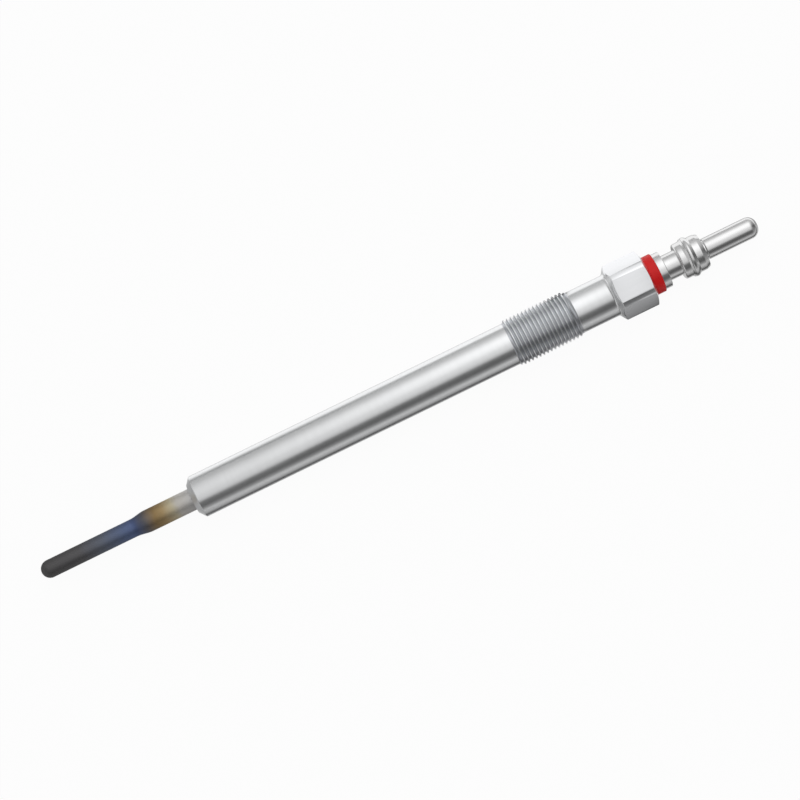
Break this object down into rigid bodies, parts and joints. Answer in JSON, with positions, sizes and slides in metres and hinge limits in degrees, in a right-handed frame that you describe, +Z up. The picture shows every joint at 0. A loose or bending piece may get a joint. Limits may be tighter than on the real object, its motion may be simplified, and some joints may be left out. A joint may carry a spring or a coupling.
{
  "type": "diesel glow plug",
  "caption": "Slim metal glow plug for a diesel engine: necked heating tube, long shank, fine thread, hexagon, red insulator and push-on terminal pin.",
  "frame": {"origin": "below the middle of the plug, on the surface that it lies on", "axes": "+X along the plug's axis towards the terminal pin, +Z up, square to the flat of the hexagon that it lies on"},
  "size_m": [0.1434, 0.0106, 0.0098],
  "materials": {
    "plated_steel": "satin",
    "tinted_alloy": "satin",
    "heating_wire": "matte",
    "control_wire": "satin",
    "magnesia": "matte",
    "seal_rubber": "matte",
    "rod_steel": "satin",
    "red_insulator": "satin",
    "terminal_metal": "satin"
  },
  "bodies": {
    "root": {"housing": "plated_steel", "glow_tube": "tinted_alloy", "heating_coil": "heating_wire", "control_coil": "control_wire", "insulating_powder": "magnesia", "tube_seal": "seal_rubber", "centre_rod": "rod_steel", "seal_ring": "seal_rubber", "insulating_bush": "red_insulator", "terminal_sleeve": "terminal_metal", "terminal_pin": "terminal_metal"}
  },
  "joints": []
}
